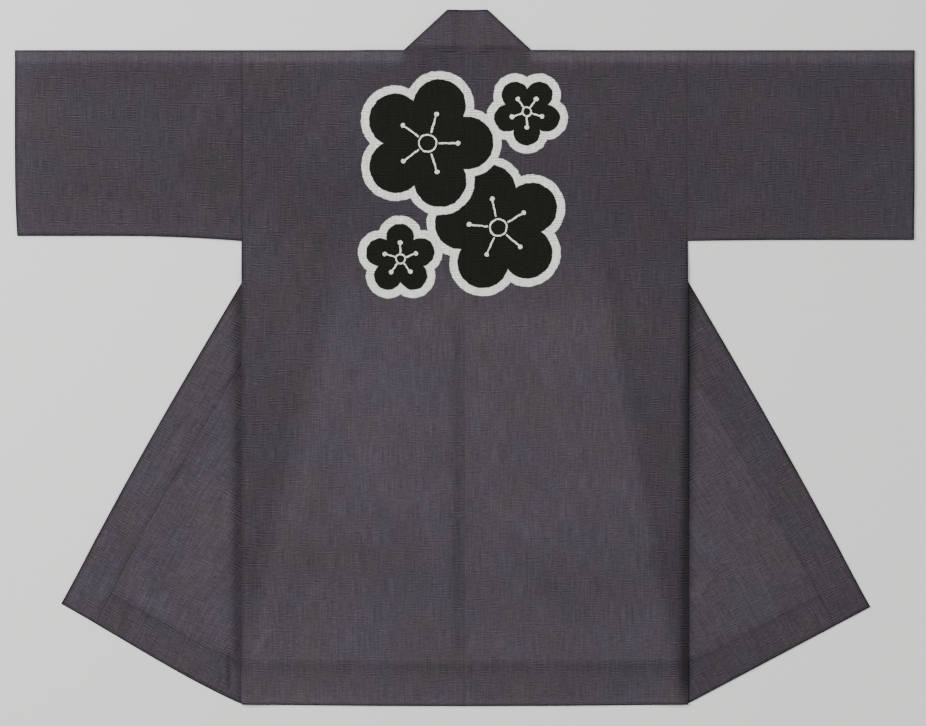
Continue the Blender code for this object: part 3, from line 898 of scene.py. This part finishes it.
def lay_neck(x, y, layer):
    """Lay the band flat over its own turned ends, which keep its full thickness."""
    upper = layer >= 1.0
    over_turn = eased(np.abs(x), COLLAR_TOP - 2 * SOLID_BAND - NECK_DRAPE, NECK_DRAPE)
    held = np.clip(y, seam_line + BAND / 2, COLLAR_RISE - BAND / 2)
    thin = np.where(upper, thinned(y - seam_line), 1.0)
    thickness = BAND * np.where(upper, np.minimum(rounded(COLLAR_RISE - y), thin), 1.0)
    middle = BAND * thin / 2 + layer * over_turn * (BAND + SEAM)
    past = (np.abs(x) - NECK_WIDTH) * math.cos(neck_slant) + y * math.sin(neck_slant)
    shade = NECK_DYE - soft(PALE_TOP, y - COLLAR_RISE)
    shows = np.clip(LINE_FULL - (x / LINE_REACH) ** 4, 0.0, 1.0) * (1 - soft(LINE_GAP, x))
    for line in SEAM_LINES:
        shade = shade * (1 - shows * soft(line, y))
    # Painted shade along the pressed edges.
    shade = shade * (1 - np.maximum(soft(RIM, y - COLLAR_RISE), soft(RIM, past)))
    return x + NECK_SHIFT, np.where(upper, y, held), middle, thickness, shade, 0.0


neck_band = lay_out("collar_neck", cloth, 1.0, BAND, lay_neck)
neck_band.data.materials.append(collar_cotton)
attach(neck_band, "root")
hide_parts("collar_neck")

# The stitches
# Running stitches of black cotton thread, which hold the hems and the spare cloth inside the neck.
# Each one dips into the cloth at both ends, so that only a grain of it shows.
STITCH_SIZE = (0.0023, 0.0005, 0.0004)
STITCH_LEAST = (0.75, 0.85, 0.85)         # shares of that size, as hand sewing varies
STITCH_MOST = (1.15, 1.1, 1.1)
STITCH_PITCH = 0.0034
STITCH_INSIDE = 0.0015   # below the top of a hem
NECK_ROW = 0.0055        # below the shoulder fold
ROUTE_GAP = 0.006        # spacing of the points that a row follows
ABOVE = 0.02             # a row starts this far above the floor, and is dropped onto the cloth

# Spun cotton is matt, and its fluff breaks up what little light it returns.
thread = bpy.data.materials.new("spun cotton thread, stitches")
thread.use_nodes = True
tree = thread.node_tree
at_thread = add(tree, "ShaderNodeTexCoord", {}).outputs["Object"]
fluff = add(tree, "ShaderNodeTexNoise", {"Vector": at_thread, "Scale": 900.0, "Detail": 2.0})
ply = add(tree, "ShaderNodeValToRGB", {"Fac": fluff})
for place, colour in zip(ply.color_ramp.elements, ("201e22", "3c393e")):
    place.color = linear(colour)
feed(tree, tree.nodes["Principled BSDF"], {"Base Color": ply, "Roughness": 0.85,
                                           "Specular IOR Level": 0.2})

sewing = bpy.data.node_groups.new("running stitches", "GeometryNodeTree")
sockets = {}
for name, kind in (("Row", "Geometry"), ("Cloth", "Object"), ("Pitch", "Float"),
                   ("Size", "Vector"), ("Thread", "Material"), ("Seed", "Int")):
    sockets[name] = sewing.interface.new_socket(name, in_out="INPUT",
                                                socket_type=f"NodeSocket{kind}").identifier
sewing.interface.new_socket("Stitches", in_out="OUTPUT", socket_type="NodeSocketGeometry")
given = add(sewing, "NodeGroupInput", {}).outputs
path = add(sewing, "GeometryNodeMeshToCurve", {"Mesh": given["Row"]})
spaced = add(sewing, "GeometryNodeResampleCurve", {"Curve": path, "Length": given["Pitch"]},
             mode="LENGTH")
under = add(sewing, "GeometryNodeObjectInfo", {"Object": given["Cloth"]},
            transform_space="RELATIVE").outputs["Geometry"]
needle = add(sewing, "GeometryNodeRaycast", {
    "Target Geometry": under, "Ray Direction": (0.0, 0.0, -1.0), "Ray Length": 2 * ABOVE})
on_cloth = add(sewing, "GeometryNodeSetPosition", {"Geometry": spaced,
                                                   "Position": needle.outputs["Hit Position"]})
along = add(sewing, "FunctionNodeAlignRotationToVector",
            {"Vector": add(sewing, "GeometryNodeInputTangent", {})}, axis="X")
by_hand = add(sewing, "FunctionNodeRandomValue", {
    "Min": STITCH_LEAST, "Max": STITCH_MOST, "Seed": given["Seed"]}, data_type="FLOAT_VECTOR")
grain = add(sewing, "GeometryNodeMeshUVSphere", {"Segments": 6, "Rings": 4, "Radius": 0.5})
stitch = add(sewing, "GeometryNodeTransform", {"Geometry": grain.outputs["Mesh"],
                                               "Scale": given["Size"]})
rows = add(sewing, "GeometryNodeInstanceOnPoints", {"Points": on_cloth, "Instance": stitch,
                                                    "Rotation": along, "Scale": by_hand})
made = add(sewing, "GeometryNodeRealizeInstances", {"Geometry": rows})
black = add(sewing, "GeometryNodeSetMaterial", {"Geometry": made, "Material": given["Thread"]})
add(sewing, "NodeGroupOutput", {"Stitches": black})


def hem_rows():
    """Each row of stitches: the piece that it is sewn through, and its places."""
    for side in SIDES:
        x = np.arange(ROUTE_GAP / 2, HALF_BACK - ROUTE_GAP / 2, ROUTE_GAP)
        yield f"back_{side.name}_cloth", side, x, sagged(x, BACK_HEM_TOP - STITCH_INSIDE)
        x = x[x < NECK_WIDTH + side.sign * NECK_SHIFT - 2 * ROUTE_GAP]
        yield f"back_{side.name}_cloth", side, x, np.full_like(x, -NECK_ROW)
        x = np.arange(HALF_BACK - FRONT_WIDTH + ROUTE_GAP / 2, HALF_BACK, ROUTE_GAP)
        x, y = turned(side, x, FRONT_HEM_TOP - STITCH_INSIDE)
        shows = x > HALF_BACK + ROUTE_GAP
        yield f"front_{side.name}_cloth", side, *drawn_out(side, x[shows], y[shows])


all_rows = bmesh.new()
for seed, (cloth_name, side, x, y) in enumerate(hem_rows()):
    places = [(side.sign * i, j + SHOULDER_Y, ABOVE) for i, j in zip(x.tolist(), y.tolist())]
    route = bpy.data.meshes.new("row")
    route.from_pydata(places, [(i, i + 1) for i in range(len(places) - 1)], [])
    row = put_in_scene("row", route)
    sewn = row.modifiers.new("running stitches", "NODES")
    sewn.node_group = sewing
    for name, value in (("Cloth", bpy.data.objects[cloth_name]), ("Pitch", STITCH_PITCH),
                        ("Size", STITCH_SIZE), ("Thread", thread), ("Seed", seed)):
        sewn[sockets[name]] = value
    finished = row.evaluated_get(bpy.context.evaluated_depsgraph_get())
    all_rows.from_mesh(bpy.data.meshes.new_from_object(finished))
    bpy.data.objects.remove(row)
stitch_mesh = mesh_of("hem_stitches", all_rows)
stitch_mesh.shade_smooth()
stitch_mesh.materials.append(thread)
stitches = put_in_scene("hem_stitches", stitch_mesh)
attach(stitches, "root")

# The floor
# A plain sheet of white paper, as in a studio, so large that its edges don't show. It is matt, so
# that all it gives the eye is an even pale ground and the soft shadow along the coat's edges.
FLOOR_REACH = 12.0
paper = bpy.data.materials.new("matt white paper, floor")
paper.use_nodes = True
feed(paper.node_tree, paper.node_tree.nodes["Principled BSDF"], {
    "Base Color": linear("fafaf8"), "Roughness": 0.95, "Specular IOR Level": 0.1})
ground = bmesh.new()
bmesh.ops.create_grid(ground, x_segments=8, y_segments=8, size=FLOOR_REACH)
floor = put_in_scene("floor", mesh_of("floor", ground))
floor.data.materials.append(paper)

# The lights
# A large soft light above and to the upper left, a larger and much weaker one from the lower
# right, and pale light from all round.
Lamp = namedtuple("Lamp", "name place size power")
LAMPS = (
    Lamp("window", (-2.6, 1.6, 3.0), 3.0, 200.0),
    Lamp("fill", (2.6, -1.8, 3.6), 4.0, 45.0),
)
AROUND = 0.47            # strength of the light from all round
for row in LAMPS:
    lamp = bpy.data.lights.new(row.name, "AREA")
    lamp.shape = "DISK"
    lamp.size = row.size
    lamp.energy = row.power
    hung = put_in_scene(row.name, lamp)
    hung.location = row.place
    hung.rotation_euler = (-Vector(row.place)).to_track_quat("-Z", "Y").to_euler()
world = bpy.data.worlds.new("studio")
world.use_nodes = True
feed(world.node_tree, world.node_tree.nodes["Background"], {"Color": linear("ffffff"),
                                                            "Strength": AROUND})
bpy.context.scene.world = world

# The camera
# It looks straight down at the coat, which lies flat on the floor with its back upward, through
# a long lens from as high as lets the coat fill the frame.
VIEW_MIDDLE = (-0.0025, -0.0074)
VIEW_HEIGHT = 3.2155
camera = bpy.data.cameras.new("camera")
camera.lens = 85.0
camera.sensor_width = 36.0
camera_object = put_in_scene("camera", camera)
camera_object.location = (*VIEW_MIDDLE, VIEW_HEIGHT)
bpy.context.scene.camera = camera_object
